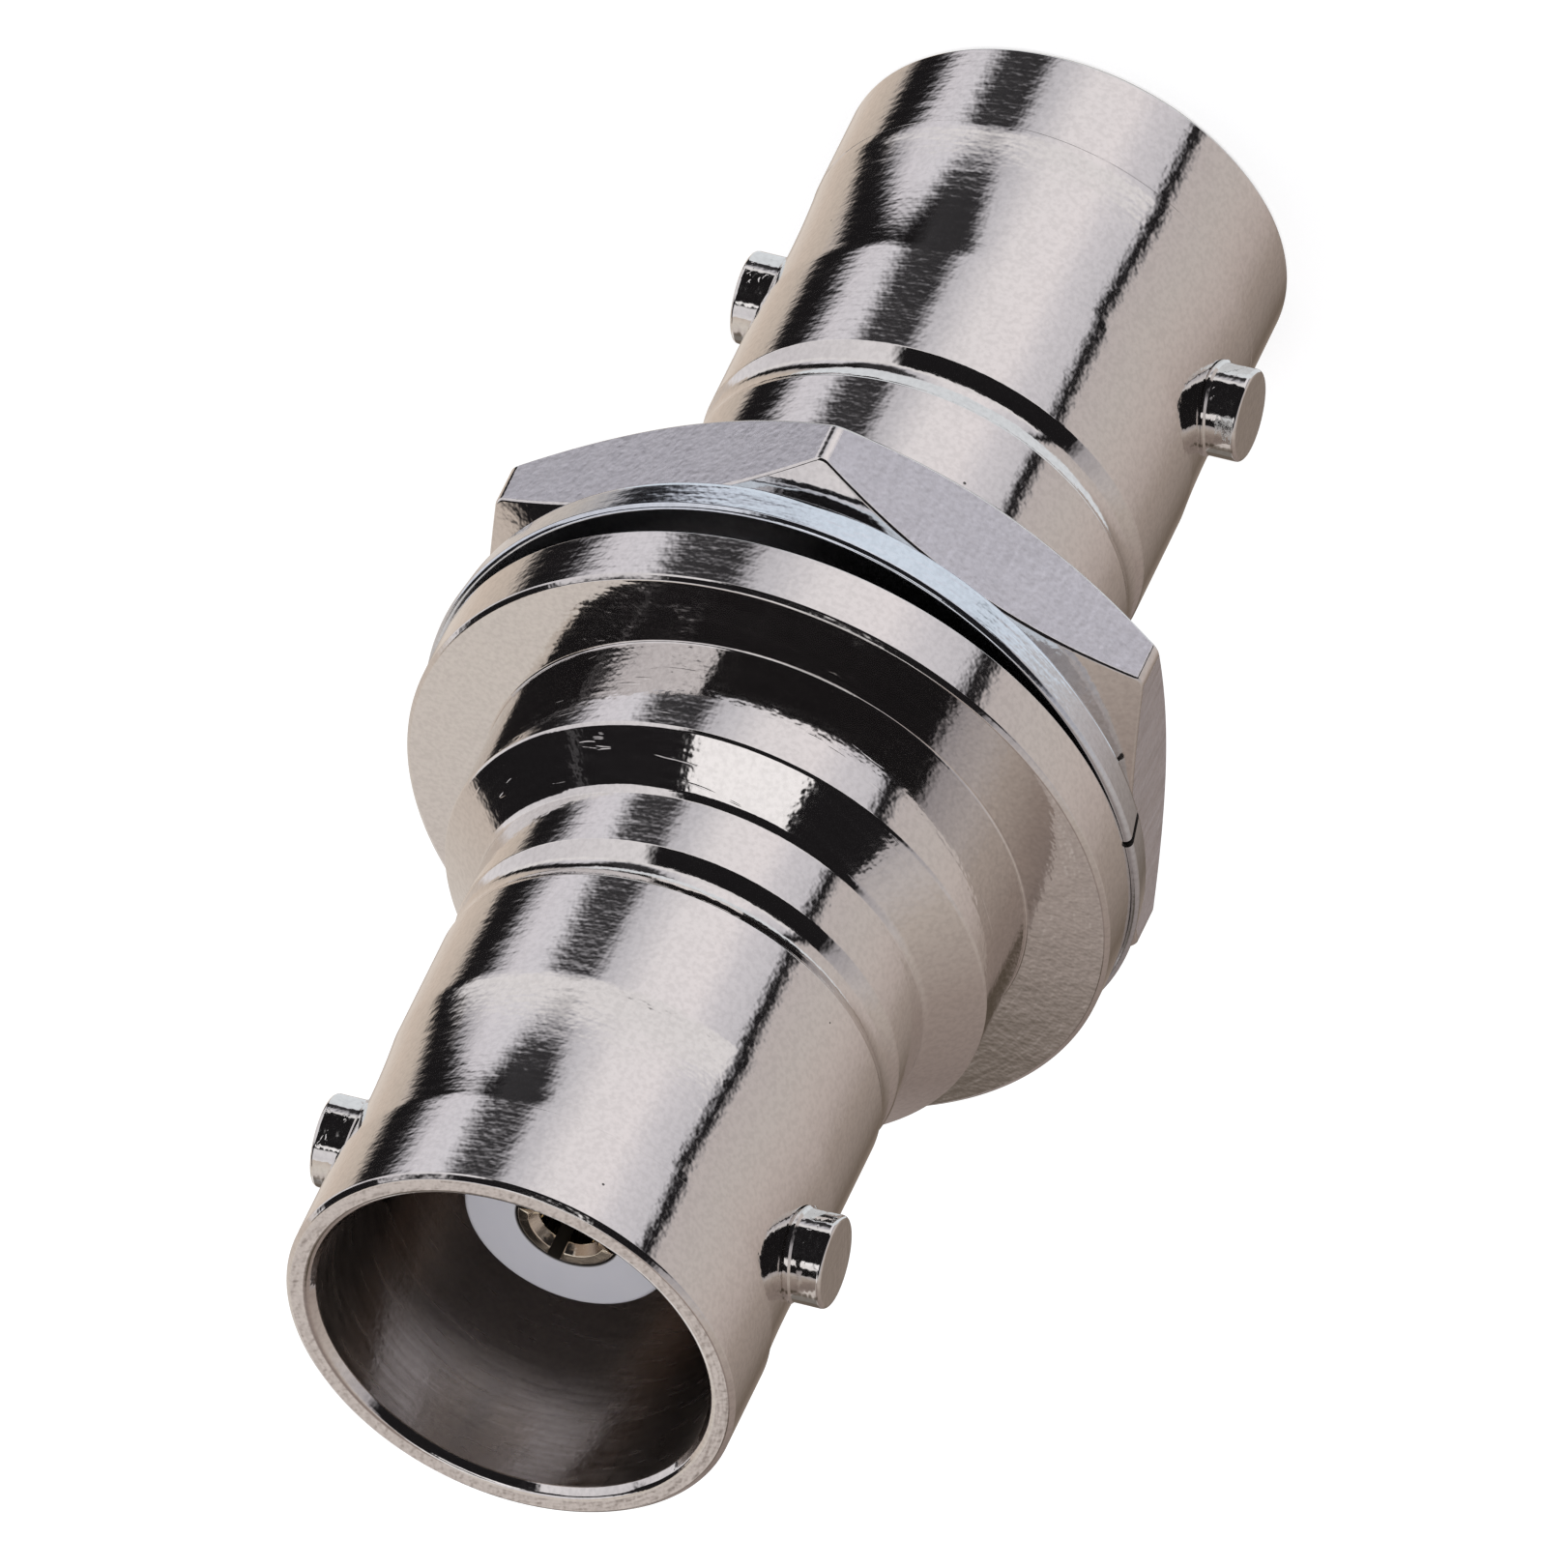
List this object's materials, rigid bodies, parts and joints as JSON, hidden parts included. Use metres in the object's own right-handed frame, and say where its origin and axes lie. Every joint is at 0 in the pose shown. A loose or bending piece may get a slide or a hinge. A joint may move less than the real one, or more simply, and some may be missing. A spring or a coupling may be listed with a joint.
{
  "type": "coaxial bulkhead adapter",
  "caption": "Bayonet coaxial bulkhead adapter: jacks at both ends with coupling studs, a slotted socket contact, a round flange, a split lock washer and a hexagon panel nut on a shank.",
  "frame": {"origin": "centre of the far mouth's rim, on which the adapter stands", "axes": "+Z along the adapter's axis from the far mouth to the near mouth; +X through the right-hand coupling studs; +Y completes the right-handed frame"},
  "size_m": [0.0154, 0.0162, 0.0328],
  "materials": {
    "nickel": "nickel plated brass, turned",
    "zinc": "zinc plated spring steel",
    "gold": "gold plated bronze",
    "dielectric": "white fluoropolymer, turned"
  },
  "bodies": {
    "adapter": {"main_body": "nickel", "rear_barrel": "nickel", "near_stud_right": "nickel", "near_stud_left": "nickel", "far_stud_right": "nickel", "far_stud_left": "nickel", "near_insulator": "dielectric", "far_insulator": "dielectric", "centre_contact": "gold"},
    "washer": {"lock_washer": "zinc"},
    "nut": {"hex_nut": "nickel"}
  },
  "joints": [
    {"name": "washer_slide", "type": "slide", "parent": "adapter", "child": "washer", "axis": [0, 0, -1], "range_m": [0, 0.00272]},
    {"name": "nut_turn", "type": "hinge", "parent": "washer", "child": "nut", "pos_m": [0, 0, 0.01438], "axis": [0, 0, -1], "range_deg": [0, 1080]}
  ],
  "couplings": [
    {"joint": "nut_turn", "follows": "washer_slide", "rad_per_m": 6926.3}
  ]
}
